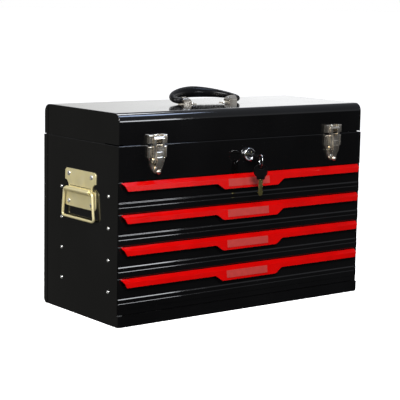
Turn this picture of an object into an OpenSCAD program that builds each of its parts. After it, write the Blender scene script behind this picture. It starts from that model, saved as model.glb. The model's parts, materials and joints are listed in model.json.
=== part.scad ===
// Portable tool box with four drawers, a hinged lid over a till, two draw
// latches, a cam lock with keys, a swinging top handle and two side bails.
// Millimetres. X runs to the right, Y to the back, Z up. The origin is the
// centre of the underside.

/* [Case] */
// Width of the case from side to side
case_w = 520; // [500:5:560]
// Depth of the case from the front to the back
case_d = 224; // [220:2:240]
// Height of the seam between the cabinet and the lid
seam_z = 290; // [288:1:296]
// Height of the top of the lid
case_h = 341; // [338:1:360]
// Radius of the lid's front and rear top edges
lid_r = 14; // [10:1:16]
// Radius of the bend at the foot of the back panel
foot_r = 8; // [6:1:10]
// Height of the plinth
plinth_h = 19; // [17:0.5:20]

/* [Drawers] */
// Height from one drawer to the next
drawer_pitch = 51.4; // [50.5:0.1:52]
// Depth of the drawer trays
tray_d = 203; // [180:1:208]
// How far the pull strips stand out
pull_reach = 8.5; // [8:0.5:10]
// Width of the tab in the middle of each pull
pull_tab_w = 143; // [120:1:180]

/* [Latches] */
// Distance of each latch from the middle
latch_x = 189; // [150:1:200]
// Width of a latch
latch_w = 35; // [34.5:0.5:38]

/* [Lock] */
// Depth of the lock below the seam
lock_drop = 26; // [25:0.5:27]
// Radius of the lock's outer ring
lock_r = 11; // [10:0.5:11]
// Radius of the key ring
key_ring_r = 10; // [9:0.5:11]
// Angle of the hanging key to the side
key_turn = 25; // [0:5:30]

/* [Handles] */
// Distance between the bends at the ends of the top handle
handle_w = 136; // [134:1:142]
// Height of the top handle above its pivots when it stands up
handle_h = 49; // [44:1:54]
// Angle at which the top handle lies back
handle_lean = 78; // [70:1:80]
// Radius of the grip in the middle
grip_r = 10; // [9:0.5:10.5]
// Width of a side bail at its pivots
bail_w = 84; // [82:1:88]
// Length of a side bail
bail_drop = 46; // [40:1:50]

/* [Hidden] */
$fn = 48;

// Case planes
sheet = 1;
half_w = case_w / 2;
front_y = -case_d / 2;
back_y = case_d / 2;
flange_y = front_y + 1.4;          // front of the side panels' return flanges
flange_w = 10;                     // width of those flanges
plinth_y = front_y - 0.3;          // back of the plinth
plinth_t = 1.2;
plinth_r = 4;                      // rounding of the plinth's lower corners
wrap_t = 0.8;                      // flanges that wrap round the rear corners
wrap_w = 11;
fit_gap = 0.1;                     // gap between sheets nested in a bend

// Drawers, numbered from the top
drawer_top_1 = seam_z - 57.6;
drawer_gap = 1;
drawer_half_w = half_w - 1;
tray_half_w = half_w - 20;
tray_y = front_y + sheet;          // front of the tray, behind the drawer front
tray_top = 6.4;                    // from the top of the drawer front to the tray's rim
rail_drop = 24.5;                  // from the top of the drawer front to its slides
bead = [31.5, 41, 1.4];            // top, bottom and height of the pressed bead
pull_inset = 5.5;                  // from the side of the case to the pull's end
pull_t = 1.5;
pull_crest = 5;                    // how far the pull's top slopes down
pull_lip = 13;                     // depth of the pull beside the tab
pull_tab = 22.5;                   // depth of the tab
pull_rake = 6;                     // the lower face leans out by this angle
pull_hip = 0.55;                   // slope of the pull's ends
pull_taper = 13.5;                 // width of the tab's slanted ends
tab_x = 2;                         // from the middle of the drawer to the middle of the tab
label_size = [88, 12.5, 0.6];
label_x = -3;

// Till and seal
till_t = 1.4;
till_z = drawer_top_1 + 1.2;
till_floor_z = till_z + till_t;
seal_top = seam_z + 8;
seal_half_w = half_w - 35;

// Lid
lid_gap = 0.8;
lid_y = back_y - lid_gap;          // half depth of the lid
lid_half_w = half_w - 1.8;         // half width of the lid's wrapped sheet
lid_end_z = seam_z + 1.4;
lid_relief = [7, 1.4];             // length and height of the notch at the front corners

// Hinge
hinge_y = back_y + 3.2;
hinge_z = seam_z + 0.4;
hinge_r = 2.8;
hinge_pin_r = 1.2;
hinge_count = 20;
hinge_pitch = 24;
hinge_gap = 0.4;
run = 0.05;                        // radial play of a pin in its bore

// Latches
strike_pin = [front_y - 5.6, seam_z + 9.5];
lever_pin = [front_y - 6.4, seam_z - 0.4];
latch_pin_r = 1.4;
lever_pin_r = 1.2;
claw_w = 9.8;                      // half widths of the claw, the lever and its ears' inner faces
lever_w = 5.5;
lever_in = 4.7;
tip_w = 6.8;                       // half width of the lever's pull tip
column_w = 6.7;                    // width of a base's columns and a strike's bosses
claw_r = 4;                        // round of the claw over its pin
claw_web = strike_pin.x - claw_r;  // front of the claw

// Lock
lock_z = seam_z - lock_drop;
plug_r = 6;
barrel_r = 9;
barrel_end = front_y + 14;
cam_y = [barrel_end + 0.4, barrel_end + 1.9];
tail_r = 3.5;
key_out = -front_y + 34.8;         // how far in front of the middle the ring hangs
key_t = 2.4;
key_head_w = 23;
key_hole_r = 3.6;
key_slot = 3;                      // half the straight length of the ring's slot in a key's head
ring_wire = 0.8;
ring_nip = 2.7;                    // from the ring's wire to the bridge it hangs on

// Top handle
handle_y = 0;
handle_z = case_h + 6.5;
bracket_x = [41, 58];
journal_r = 3.5;
core_r = 3;                        // of the rod inside the grip
grip_end_x = 59;
grip_end_r = 5;
grip_bend = 6;
arch_power = 1.75;                 // squareness of the arch
arch_steps = 24;
grip_sides = 20;

// Side bails
bail_y = -3;
bail_z = seam_z - 82;
bail_x = half_w + 5.6;
bail_r = 2.2;
bail_spread = 6;                   // each leg leans out by this much
bail_bend = 5;                     // radius of the wire's bends
bail_swell = 0.1;                  // the bends are this much thicker than the straight wire
knuckle_r = 4.2;
knuckle_half = 35;
plate_t = 1.5;
plate_lo = [bail_y - 46, bail_z - 29];
plate_hi = [bail_y + 46, bail_z + 33];

// Colours
black = [0.06, 0.06, 0.065];
steel = [0.45, 0.46, 0.48];
nickel = [0.8, 0.78, 0.72];
zinc = [0.8, 0.74, 0.52];
chrome = [0.86, 0.87, 0.89];
red = [0.85, 0.04, 0.05];
rubber = [0.12, 0.12, 0.13];
brass = [0.72, 0.62, 0.35];

// ---------------------------------------------------------------- helpers

// Box between two corners
module slab(lo, hi) {
    translate(lo) cube(hi - lo);
}

// Rectangle between two corners
module rect(lo, hi) {
    translate(lo) square(hi - lo);
}

// Rectangle with round corners
module round_rect(lo, hi, r) {
    rect([lo.x + r, lo.y], [hi.x - r, hi.y]);
    rect([lo.x, lo.y + r], [hi.x, hi.y - r]);
    for (x = [lo.x + r, hi.x - r], y = [lo.y + r, hi.y - r])
        translate([x, y]) circle(r);
}

// Outline drawn in Y and Z, drawn out along X
module along_x(x0, x1) {
    translate([x0, 0, 0]) rotate([90, 0, 90]) linear_extrude(x1 - x0) children();
}

// Outline drawn in X and Z, drawn out along Y
module along_y(y0, y1) {
    translate([0, y1, 0]) rotate([90, 0, 0]) linear_extrude(y1 - y0) children();
}

module rod_x(x0, x1, r) {
    translate([x0, 0, 0]) rotate([0, 90, 0]) cylinder(r = r, h = x1 - x0);
}

module rod_y(y0, y1, r) {
    translate([0, y1, 0]) rotate([90, 0, 0]) cylinder(r = r, h = y1 - y0);
}

// The same shape on the right and, mirrored, on the left
module both_sides() {
    children();
    mirror([1, 0, 0]) children();
}

// Round head standing on a plane, its foot at the origin and its crown up
module dome(r, h) {
    ball = (r * r + h * h) / (2 * h);
    difference() {
        translate([0, 0, h - ball]) sphere(ball);
        translate([-2 * ball, -2 * ball, -4 * ball]) cube(4 * ball);
    }
}

function drawer_top(i) = drawer_top_1 - (i - 1) * drawer_pitch;
function drawer_bottom(i) = i < 4 ? drawer_top(i + 1) + drawer_gap : plinth_h + drawer_gap;
function rail_z(i) = drawer_top(i) - rail_drop;

// ---------------------------------------------------------------- cabinet

// One side: a sheet with a round rear foot and a flange folded in at the front
module side_panel() {
    color(black) {
        along_x(half_w - sheet, half_w) difference() {
            union() {
                rect([plinth_y, plinth_r], [back_y - foot_r, seam_z]);
                rect([plinth_y + plinth_r, 0], [back_y - foot_r, seam_z]);
                rect([plinth_y, foot_r], [back_y - sheet - fit_gap, seam_z]);
                translate([back_y - foot_r, foot_r]) circle(foot_r - sheet - fit_gap);
                translate([plinth_y + plinth_r, plinth_r]) circle(plinth_r);
            }
            rect([plinth_y - 1, plinth_h], [flange_y, seam_z + 1]);
        }
        slab([half_w - flange_w, flange_y, plinth_h], [half_w, flange_y + sheet, seam_z]);
    }
}

module side_panel_right() {
    side_panel();
}

module side_panel_left() {
    mirror([1, 0, 0]) side_panel();
}

// The back, bent under at the foot, with flanges round the rear corners
module back_panel() {
    color(black) {
        along_x(-half_w - wrap_t, half_w + wrap_t) {
            rect([back_y - sheet, foot_r], [back_y, seam_z]);
            translate([back_y - foot_r, foot_r]) intersection() {
                difference() {
                    circle(foot_r);
                    circle(foot_r - sheet);
                }
                translate([0, -foot_r]) square(foot_r);
            }
        }
        both_sides() along_x(half_w, half_w + wrap_t) {
            rect([back_y - wrap_w, 0], [back_y - foot_r, seam_z]);
            rect([back_y - wrap_w, foot_r], [back_y, seam_z]);
            translate([back_y - foot_r, foot_r]) intersection() {
                circle(foot_r);
                rect([0, -foot_r], [foot_r, 0]);
            }
        }
    }
}

// Floor, plinth front and the ledge behind the plinth's top edge
module base_pan() {
    shelf = 6.3;
    upstand = 12;
    color(black) {
        slab([-half_w + sheet, plinth_y, 0], [half_w - sheet, back_y - foot_r, plinth_t]);
        along_y(plinth_y - plinth_t, plinth_y) {
            rect([-half_w, plinth_r], [half_w, plinth_h]);
            rect([-half_w + plinth_r, 0], [half_w - plinth_r, 2 * plinth_r]);
            for (x = [plinth_r - half_w, half_w - plinth_r])
                translate([x, plinth_r]) circle(plinth_r);
        }
        slab([-half_w + sheet, plinth_y, plinth_h - plinth_t],
             [half_w - sheet, plinth_y + shelf, plinth_h]);
        both_sides() slab([half_w - 2 * sheet, plinth_y + shelf, 0],
                          [half_w - sheet, back_y - foot_r, upstand]);
    }
}

// Fixed front above the drawers, with a lip that carries the till floor
module till_front() {
    lip = 10;
    color(black) difference() {
        union() {
            slab([-half_w, front_y, till_z], [half_w, flange_y, seam_z]);
            slab([-half_w + flange_w, flange_y, till_z],
                 [half_w - flange_w, flange_y + lip, till_floor_z]);
        }
        translate([0, 0, lock_z]) rod_y(front_y - 1, flange_y + 1, barrel_r + 0.2);
    }
}

module till_floor() {
    color(steel) difference() {
        slab([-half_w + sheet, flange_y, till_floor_z],
             [half_w - sheet, back_y - sheet, till_floor_z + sheet]);
        both_sides() slab([half_w - flange_w, flange_y - 1, till_floor_z - 1],
                          [half_w, flange_y + sheet + fit_gap, till_floor_z + 2]);
    }
}

module till_liner() {
    mat = 1.5;
    edge = 4;
    color(rubber) translate([0, 0, till_floor_z + sheet]) linear_extrude(mat)
        round_rect([-half_w + edge, flange_y + edge], [half_w - edge, back_y - edge], edge);
}

// Upstand inside the rim that the lid closes over, open at the front corners
module seal_lip() {
    foot = 12;
    lip_t = 0.8;
    side_y = [front_y + 42, back_y - 2.2];
    color(black) {
        along_x(-seal_half_w, seal_half_w) {
            rect([flange_y, seam_z - foot], [flange_y + 2, seam_z - 2]);
            rect([flange_y + 2 - lip_t, seam_z - foot], [flange_y + 2, seal_top]);
        }
        both_sides() along_y(side_y[0], side_y[1]) {
            rect([half_w - sheet - 2.2, seam_z - foot], [half_w - sheet, seam_z - 2]);
            rect([half_w - sheet - 2.2, seam_z - foot], [half_w - sheet - 2.2 + lip_t, seal_top]);
        }
    }
}

// Channels on the side panels that carry the drawers' runners
module slide_rails() {
    web_x = half_w - 2 * sheet;
    flange_x = half_w - 18;
    outer = 6.5;
    color(steel) for (i = [1:4]) both_sides()
        along_y(front_y + 3, back_y - 22) translate([0, rail_z(i)]) {
            rect([web_x, -outer], [half_w - sheet, outer]);
            rect([flange_x, outer - sheet], [web_x, outer]);
            rect([flange_x, -outer], [web_x, sheet - outer]);
        }
}

// Rivets of the slides, the side plates and the latch bases
module cabinet_rivets() {
    slide_rivet_y = [front_y + 27.5, back_y - 56.3];
    plate_rivet = [34, 22.7];
    plate_mid = [bail_y, (plate_lo.y + plate_hi.y) / 2];
    color(chrome) {
        both_sides() {
            for (i = [1:4], y = slide_rivet_y)
                translate([half_w, y, rail_z(i)]) rotate([0, 90, 0]) dome(2.9, 1.5);
            for (dy = [-1, 1], dz = [-1, 1])
                translate([half_w + plate_t, plate_mid.x + dy * plate_rivet.x,
                           plate_mid.y + dz * plate_rivet.y])
                    rotate([0, 90, 0]) dome(4.2, 1.6);
        }
        for (x = [-latch_x, latch_x])
            translate([x, front_y - 1.2, base_rivet_z]) rotate([90, 0, 0]) dome(2.6, 1.2);
    }
}

module hinge_knuckle(i) {
    x = (i - hinge_count / 2) * hinge_pitch;
    translate([0, hinge_y, hinge_z])
        rod_x(x + hinge_gap / 2, x + hinge_pitch - hinge_gap / 2, hinge_r);
}

// Strip that joins a knuckle to its leaf
module hinge_web(i, lo, hi) {
    x = (i - hinge_count / 2) * hinge_pitch;
    along_x(x + hinge_gap / 2, x + hinge_pitch - hinge_gap / 2) rect(lo, hi);
}

module hinge_bore() {
    reach = hinge_count * hinge_pitch / 2 + 1;
    translate([0, hinge_y, hinge_z]) rod_x(-reach, reach, hinge_pin_r + run);
}

module hinge_leaf_body() {
    leaf_x = hinge_count * hinge_pitch / 2;
    leaf_t = 1.2;
    color(steel) difference() {
        union() {
            slab([-leaf_x, back_y, seam_z - 18], [leaf_x, back_y + leaf_t, hinge_z - 3.2]);
            for (i = [0:2:hinge_count - 1]) {
                hinge_knuckle(i);
                hinge_web(i, [back_y, hinge_z - 3.3], [back_y + leaf_t, hinge_z]);
            }
        }
        hinge_bore();
    }
}

module hinge_pin() {
    reach = hinge_count * hinge_pitch / 2 + 0.8;
    color(chrome) translate([0, hinge_y, hinge_z]) rod_x(-reach, reach, hinge_pin_r);
}

// Plate with a curled knuckle that holds a bail
module side_plate() {
    notch_r = 10.6;
    notch = [bail_z + 1.5, bail_z + 3.4];
    curl = 2.2;
    slit = [bail_z + knuckle_r + 0.6, bail_z + knuckle_r + 1.8];
    color(zinc) difference() {
        union() {
            along_x(half_w, half_w + plate_t) difference() {
                round_rect(plate_lo, plate_hi, 6);
                for (edge = [plate_lo.x, plate_hi.x]) intersection() {
                    union() {
                        rect([edge - notch_r, notch[0]], [edge + notch_r, notch[1]]);
                        translate([edge, notch[1]]) circle(notch_r);
                    }
                    rect([edge - 2 * notch_r, notch[0]], [edge + 2 * notch_r, notch[1] + 2 * notch_r]);
                }
                rect([bail_y - knuckle_half + 3, slit[0]], [bail_y + knuckle_half - 3, slit[1]]);
            }
            translate([bail_x, 0, bail_z])
                rod_y(bail_y - knuckle_half, bail_y + knuckle_half, knuckle_r);
            slab([half_w + plate_t / 2, bail_y - knuckle_half, bail_z - curl],
                 [bail_x - 1, bail_y + knuckle_half, bail_z + curl]);
        }
        translate([bail_x, 0, bail_z])
            rod_y(bail_y - knuckle_half - 1, bail_y + knuckle_half + 1, bail_r + run);
    }
}

module side_plate_right() {
    side_plate();
}

module side_plate_left() {
    mirror([1, 0, 0]) side_plate();
}

// Turned part drawn as radius and distance in front of the case
module lock_turning(outline) {
    translate([0, front_y, lock_z]) rotate([90, 0, 0]) rotate_extrude() polygon(outline);
}

module lock_barrel() {
    depth = barrel_end - front_y;
    color(chrome) lock_turning([
        [plug_r + run, -depth], [barrel_r, -depth], [barrel_r, 0], [lock_r - 1.2, 0],
        [lock_r, 4], [lock_r, 5], [lock_r - 1, 5.8], [plug_r + 1.4, 4.6], [plug_r + run, 4.6]
    ]);
}

// Nut behind the fixed front that clamps the barrel
module lock_nut() {
    nut_t = 3.6;
    flats = 24;
    color(nickel) difference() {
        along_y(flange_y, flange_y + nut_t)
            intersection() {
                translate([0, lock_z]) circle(13);
                translate([0, lock_z]) square(flats, center = true);
            }
        translate([0, 0, lock_z]) rod_y(flange_y - 1, flange_y + nut_t + 1, barrel_r + run);
    }
}

// ---------------------------------------------------------------- latches

latch_tail = [[13.2, 26], [11.8, 33.5], [9, 40], [4, 46]];   // half width, depth below the seam
knob = [3.8, 2.8];                             // radius and height of the knob on a lever's tip
knob_z = seam_z - 43;
base_rivet_z = knob_z + 4.5;

// Shield outline of a latch base, in from its edge by the given amount
module latch_outline(inset) {
    half = latch_w / 2;
    right = [
        [half - inset, -2 - inset], [half - inset, -20],
        for (p = latch_tail) [p.x - inset, -p.y + (p.y > 40 ? inset : 0)]
    ];
    left = [for (i = [len(right) - 1:-1:0]) [-right[i].x, right[i].y]];
    translate([0, seam_z]) polygon(concat(right, left));
}

// Base on the cabinet: plate, raised rim, two ribbed columns and a stop tongue
module latch_base() {
    plate = 1.2;
    rim = 2.5;
    half = latch_w / 2;
    column = [half - column_w, half];
    along_y(front_y - plate, front_y) latch_outline(0);
    along_y(front_y - 4, front_y - plate + 0.1) difference() {
        latch_outline(0);
        latch_outline(rim);
        rect([-half, seam_z - 10], [half, seam_z]);
    }
    both_sides() difference() {
        slab([column[0], front_y - 5.5, seam_z - 20], [column[1], front_y - plate + 0.1, seam_z - 2]);
        slab([column[0] + 2, front_y - 6, seam_z - 21], [column[1] - 2.2, front_y - 4, seam_z - 5]);
    }
    slab([-5, front_y - 3.4, seam_z - 24], [5, front_y - plate + 0.1, seam_z - 22]);
}

module latch_bases() {
    color(nickel) for (x = [-latch_x, latch_x]) translate([x, 0, 0]) latch_base();
}

// Strike on the lid: plate, two bosses and the pin that the claw swings on
module latch_strike() {
    half = latch_w / 2;
    face = -lid_y;
    boss = [half - column_w, half];
    slab([-half, face - 1.2, seam_z + 2.5], [half, face, seam_z + 16]);
    both_sides() along_x(boss[0], boss[1]) {
        rect([strike_pin.x - 0.6, seam_z + 2.5], [face - 1, seam_z + 16]);
    }
    translate([0, strike_pin.x, strike_pin.y]) rod_x(-boss[0] - 1, boss[0] + 1, latch_pin_r);
}

module latch_strikes() {
    color(nickel) for (x = [-latch_x, latch_x]) translate([x, 0, 0]) latch_strike();
}

// Claw: a channel that hangs from the strike's pin, with a window and a foot bar
module latch_claw() {
    wall = 1;
    foot = seam_z - 28;
    open_y = front_y - 3.8;
    color(nickel) difference() {
        union() {
            both_sides() along_x(claw_w - wall, claw_w) {
                translate(strike_pin) circle(claw_r);
                rect([claw_web, foot], [open_y, strike_pin.y]);
            }
            along_x(-claw_w, claw_w) {
                rect([claw_web, foot], [claw_web + wall, strike_pin.y]);
                rect([claw_web, foot], [open_y, foot + 2.5]);
                translate(strike_pin) intersection() {
                    difference() {
                        circle(claw_r);
                        circle(claw_r - wall);
                    }
                    translate([-claw_r, 0]) square(claw_r);
                }
            }
        }
        slab([-lever_w - 0.2, claw_web - 1, seam_z - 4.7],
             [lever_w + 0.2, claw_web + wall + 0.5, strike_pin.y]);
        translate([0, strike_pin.x, strike_pin.y]) rod_x(-claw_w - 1, claw_w + 1, latch_pin_r + run);
        translate([0, lever_pin.x, lever_pin.y]) rod_x(-claw_w - 1, claw_w + 1, lever_pin_r + run);
    }
}

// Stepped face of the lever as Y offsets and depths below the seam
lever_steps = [[-10.8, 2.5], [-10.8, 11], [-11.8, 11.8], [-11.8, 19], [-12.9, 19.8], [-12.9, 26], [-9, 39]];
lever_t = 0.9;

// Lever: a stepped channel in front of the claw, with a pull tip that ends in a
// knob, and ears that reach through the claw's window to its pin
module latch_lever() {
    outer = [for (p = lever_steps) [front_y + p.x, seam_z - p.y]];
    inner = [for (i = [len(outer) - 1:-1:0]) outer[i] + [lever_t, 0]];
    tip = seam_z - 39;
    flare = [tip + 9.5, tip + 12];
    tip_y = outer[len(outer) - 1].x;
    neck_t = 0.7;
    seat = 0.3;                    // the knob's crown is sunk into its disc
    cheek = claw_web - 0.15;
    color(nickel) {
        intersection() {
            along_x(-tip_w, tip_w) polygon(concat(outer, inner));
            along_y(front_y - 20, front_y) polygon([
                [-lever_w, seam_z], [-lever_w, flare[1]], [-tip_w, flare[0]], [-3, tip],
                [3, tip], [tip_w, flare[0]], [lever_w, flare[1]], [lever_w, seam_z]
            ]);
        }
        slab([-2, tip_y + 0.05, knob_z], [2, tip_y + neck_t, tip + 0.5]);
        translate([0, 0, knob_z]) rod_y(tip_y, tip_y + lever_t, knob.x);
        translate([0, tip_y + seat, knob_z]) rotate([90, 0, 0]) dome(knob.x - 0.1, knob.y + seat);
        both_sides() along_x(lever_in, lever_w) {
            polygon(concat([for (i = [0:5]) outer[i]], [[cheek, tip + 17], [cheek, seam_z - 2.5]]));
            rect([outer[0].x + 0.3, seam_z - 4], lever_pin);
            translate(lever_pin) circle(2);
        }
        translate([0, lever_pin.x, lever_pin.y]) rod_x(-claw_w + 0.1, claw_w - 0.1, lever_pin_r);
    }
}

module latch_left_claw() {
    translate([-latch_x, 0, 0]) latch_claw();
}

module latch_left_lever() {
    translate([-latch_x, 0, 0]) latch_lever();
}

module latch_right_claw() {
    translate([latch_x, 0, 0]) latch_claw();
}

module latch_right_lever() {
    translate([latch_x, 0, 0]) latch_lever();
}

// ---------------------------------------------------------------- lid

// End view of the lid down to the given height, in from its edge by inset
module lid_outline(bottom, inset) {
    y = lid_y - inset;
    rect([-y, bottom], [y, case_h - lid_r]);
    rect([-lid_y + lid_r, bottom], [lid_y - lid_r, case_h - inset]);
    for (side = [-1, 1])
        translate([side * (lid_y - lid_r), case_h - lid_r]) circle(lid_r - inset);
}

// One sheet bent over the front and rear edges
module lid_shell() {
    bottom = seam_z + lid_gap;
    color(black) difference() {
        along_x(-lid_half_w, lid_half_w) difference() {
            lid_outline(bottom, 0);
            lid_outline(bottom - 1, sheet);
        }
        both_sides() slab([lid_half_w - lid_relief.x, -lid_y - 1, bottom - 1],
                          [lid_half_w + 1, -lid_y + 3, bottom + lid_relief.y]);
    }
}

module lid_ends() {
    color(black) both_sides() {
        along_x(lid_half_w, lid_half_w + sheet) lid_outline(lid_end_z, 0);
        along_x(lid_half_w + sheet, lid_half_w + sheet + wrap_t) intersection() {
            lid_outline(lid_end_z, 0);
            rect([back_y - wrap_w, 0], [back_y, case_h]);
        }
    }
}

module hinge_leaf_lid() {
    leaf_x = hinge_count * hinge_pitch / 2;
    color(steel) difference() {
        union() {
            slab([-leaf_x, lid_y, hinge_z + 3.2], [leaf_x, lid_y + 1.2, seam_z + 16]);
            for (i = [1:2:hinge_count - 1]) {
                hinge_knuckle(i);
                hinge_web(i, [lid_y + 0.6, hinge_z], [lid_y + 2.2, hinge_z + 4]);
            }
        }
        hinge_bore();
    }
}

// Hook inside the lid that the lock's cam turns over
module lock_catch() {
    face = -lid_y + sheet;
    leg = [26, 30];
    foot_z = [lock_z - 14, lock_z - 10];
    shelf_z = seam_z + 10;
    pad_x = [20, 36];
    color(steel) {
        slab([leg[0], cam_y[0], foot_z[0]], [leg[1], cam_y[1], shelf_z + 1.5]);
        slab([leg[0] - 11, cam_y[0], foot_z[0]], [leg[1], cam_y[1], foot_z[1]]);
        slab([pad_x[0], face, shelf_z], [pad_x[1], cam_y[1], shelf_z + 1.5]);
        slab([pad_x[0], face, shelf_z], [pad_x[1], face + 1.5, shelf_z + 15]);
    }
}

// Hoods that hold the ends of the top handle, each with a riveted foot
module handle_brackets() {
    hood_r = 8.5;
    hood_top = case_h + 12.5;
    round_x = 11;
    foot = [29.5, 7, 1.2];
    color(nickel) both_sides() difference() {
        union() {
            intersection() {
                along_x(bracket_x[0], bracket_x[1]) {
                    translate([handle_y, hood_top - hood_r]) circle(hood_r);
                    rect([handle_y - hood_r, case_h], [handle_y + hood_r, hood_top - hood_r]);
                }
                along_y(handle_y - hood_r - 1, handle_y + hood_r + 1) intersection() {
                    union() {
                        rect([bracket_x[0] + round_x, case_h], [bracket_x[1], hood_top]);
                        rect([bracket_x[0], case_h], [bracket_x[1], hood_top - round_x]);
                        translate([bracket_x[0] + round_x, hood_top - round_x]) circle(round_x);
                    }
                    rect([bracket_x[0], case_h], [bracket_x[1], hood_top]);
                }
            }
            slab([foot[0], handle_y - foot[1], case_h],
                 [bracket_x[0] + 2, handle_y + foot[1], case_h + foot[2]]);
        }
        translate([0, handle_y, handle_z]) rod_x(bracket_x[0] + 2, bracket_x[1] + 1, journal_r + run);
    }
}

module lid_rivets() {
    color(chrome) {
        both_sides() translate([34.5, handle_y, case_h + 1.2]) dome(3.2, 1.6);
        for (x = [-latch_x, latch_x])
            translate([x, -lid_y - 1.2, strike_pin.y + 4.5]) rotate([90, 0, 0]) dome(1.8, 0.7);
    }
}

// ---------------------------------------------------------------- top handle

// The handle's centre line in its own plane: X and height above the pivots
arch_x = handle_w / 2;
arch_rise = handle_h - grip_bend;
function arch_point(t) = [
    arch_x * sign(cos(t)) * pow(abs(cos(t)), 2 / arch_power),
    grip_bend + arch_rise * pow(sin(t), 2 / arch_power)
];
function bend_point(side, t) = [
    side * (arch_x - grip_bend + grip_bend * sin(t)),
    grip_bend - grip_bend * cos(t)
];
handle_path = concat(
    [[-grip_end_x, 0]],
    [for (t = [0:22.5:67.5]) bend_point(-1, t)],
    [for (i = [0:arch_steps]) arch_point(180 - 180 * i / arch_steps)],
    [for (t = [67.5:-22.5:0]) bend_point(1, t)],
    [[grip_end_x, 0]]
);
path_last = len(handle_path) - 1;
function grip_radius(x) = grip_r - (grip_r - grip_end_r) * pow(abs(x) / arch_x, 1.6);
function path_way(i) =
    handle_path[min(i + 1, path_last)] - handle_path[max(i - 1, 0)];
// A ring of the given radius and number of sides, square to the path
function path_ring(i, r, sides) =
    let (p = handle_path[i], w = path_way(i) / norm(path_way(i)))
    [for (k = [0:sides - 1])
        let (a = 360 * k / sides)
        [p.x - w.y * r * cos(a), r * sin(a), p.y + w.x * r * cos(a)]];

module in_handle_plane() {
    translate([0, handle_y, handle_z]) rotate([-handle_lean, 0, 0]) children();
}

// Round bar along the path, given its radius at each point
module bar_on_path(radii, sides) {
    points = [for (i = [0:path_last]) each path_ring(i, radii[i], sides)];
    walls = [for (i = [0:path_last - 1], k = [0:sides - 1])
        [i * sides + k, i * sides + (k + 1) % sides,
         (i + 1) * sides + (k + 1) % sides, (i + 1) * sides + k]];
    start = [for (k = [sides - 1:-1:0]) k];
    end = [for (k = [0:sides - 1]) path_last * sides + k];
    polyhedron(points, concat(walls, [start, end]));
}

// Soft grip moulded over the core
module handle_grip() {
    color(rubber) in_handle_plane()
        bar_on_path([for (p = handle_path) grip_radius(p.x)], grip_sides);
}

// Steel rod through the grip, with journals in the brackets
module handle_core() {
    color(steel) in_handle_plane() {
        bar_on_path([for (p = handle_path) core_r], 8);
        both_sides() rod_x(bracket_x[0] + 2.5, arch_x - grip_bend, journal_r);
    }
}

// ---------------------------------------------------------------- bails

// Stretch of a bent wire round the origin in the YZ plane, between two angles
module wire_bend(from, to) {
    rotate([90, 0, 90]) rotate([0, 0, from]) rotate_extrude(angle = to - from)
        translate([bail_bend, 0]) circle(bail_r + bail_swell);
}

// Wire bail: two ends in the knuckle, two legs and a cross bar
module bail() {
    inner = knuckle_half - 14;
    seat = 0.5;                                    // the straight wire runs this far into a bend
    top = bail_w / 2;
    low = top + bail_spread;
    lean = atan2(bail_spread, bail_drop);
    top_set = bail_bend * tan(45 - lean / 2);      // from a corner to the ends of its bend
    low_set = bail_bend * tan(45 + lean / 2);
    leg = norm([bail_spread, bail_drop]) - top_set - low_set + 2 * seat;
    bar = low - low_set + seat;
    color(zinc) translate([bail_x, bail_y, bail_z]) {
        for (side = [0, 1]) mirror([0, side, 0]) {
            rod_y(inner, top - top_set + seat, bail_r);
            translate([0, top - top_set, -bail_bend]) wire_bend(lean, 90);
            translate([0, top, 0]) rotate([180 + lean, 0, 0]) translate([0, 0, top_set - seat])
                cylinder(r = bail_r, h = leg);
            translate([0, low - low_set, bail_bend - bail_drop]) wire_bend(-90, lean);
        }
        translate([0, 0, -bail_drop]) rod_y(-bar, bar, bail_r);
    }
}

module bail_right() {
    bail();
}

module bail_left() {
    mirror([1, 0, 0]) bail();
}

// ---------------------------------------------------------------- drawers

// Sheet front with one pressed bead
module drawer_front(i) {
    top = drawer_top(i);
    out = front_y - bead[2];
    ramp = 0.5;
    wall = 0.9;                    // height of the sheet in the bead's steep edges
    inner = [top - bead[0] - wall, top - bead[1] + wall];
    color(black) along_x(-drawer_half_w, drawer_half_w) polygon([
        [front_y, top], [front_y, top - bead[0]], [out, top - bead[0] - ramp],
        [out, top - bead[1] + ramp], [front_y, top - bead[1]], [front_y, drawer_bottom(i)],
        [tray_y, drawer_bottom(i)], [tray_y, inner[1]], [out + sheet, inner[1] + ramp],
        [out + sheet, inner[0] - ramp], [tray_y, inner[0]], [tray_y, top]
    ]);
}

// Pull strip: a sloping top, a lower face and a hidden leg on the drawer front
module drawer_pull(i) {
    drop = pull_tab - pull_crest;
    rake = -tan(pull_rake);
    tab_y = -pull_reach + drop * rake;
    lip = [-pull_reach + (pull_lip - pull_crest) * rake + pull_t, -pull_lip];
    under = [-pull_reach + 1.7, -pull_crest - 1.1];
    below = -pull_tab - 1;
    flange = [-1.2, -9];
    root = 1.5;                    // thickness of the end caps' upper corner
    cap = 1.3;
    slant = (lip.y + root) / lip.x;
    x_end = half_w - pull_inset;
    side = pull_tab_w / 2 + tab_x;
    color(red) translate([0, front_y, drawer_top(i)]) difference() {
        along_x(-x_end, x_end) polygon([
            [0, 0], [-pull_reach, -pull_crest], [tab_y, -pull_tab], [0, -pull_tab]
        ]);
        along_x(cap - x_end, x_end - cap) polygon([
            [flange.x, -2], under, [tab_y + pull_t + rake, below], [flange.x, below]
        ]);
        along_x(-x_end - 1, x_end + 1) rect([flange.x - 0.1, below], [1, flange.y]);
        both_sides() along_x(x_end - 10, x_end + 1) polygon([
            [1, slant - root], lip, [lip.x, below], [1, below]
        ]);
        for (end = [0, 1]) mirror([end, 0, 0]) along_y(-pull_reach - 2, 1) polygon([
            [side - 2 * end * tab_x, -pull_lip], [side - 2 * end * tab_x - pull_taper, -pull_tab],
            [side - 2 * end * tab_x - pull_taper, -pull_tab - 2], [x_end + 2, -pull_tab - 2],
            [x_end + 2, 1], [x_end + pull_hip, 1], [x_end - pull_hip * pull_lip, -pull_lip]
        ]);
    }
}

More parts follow.
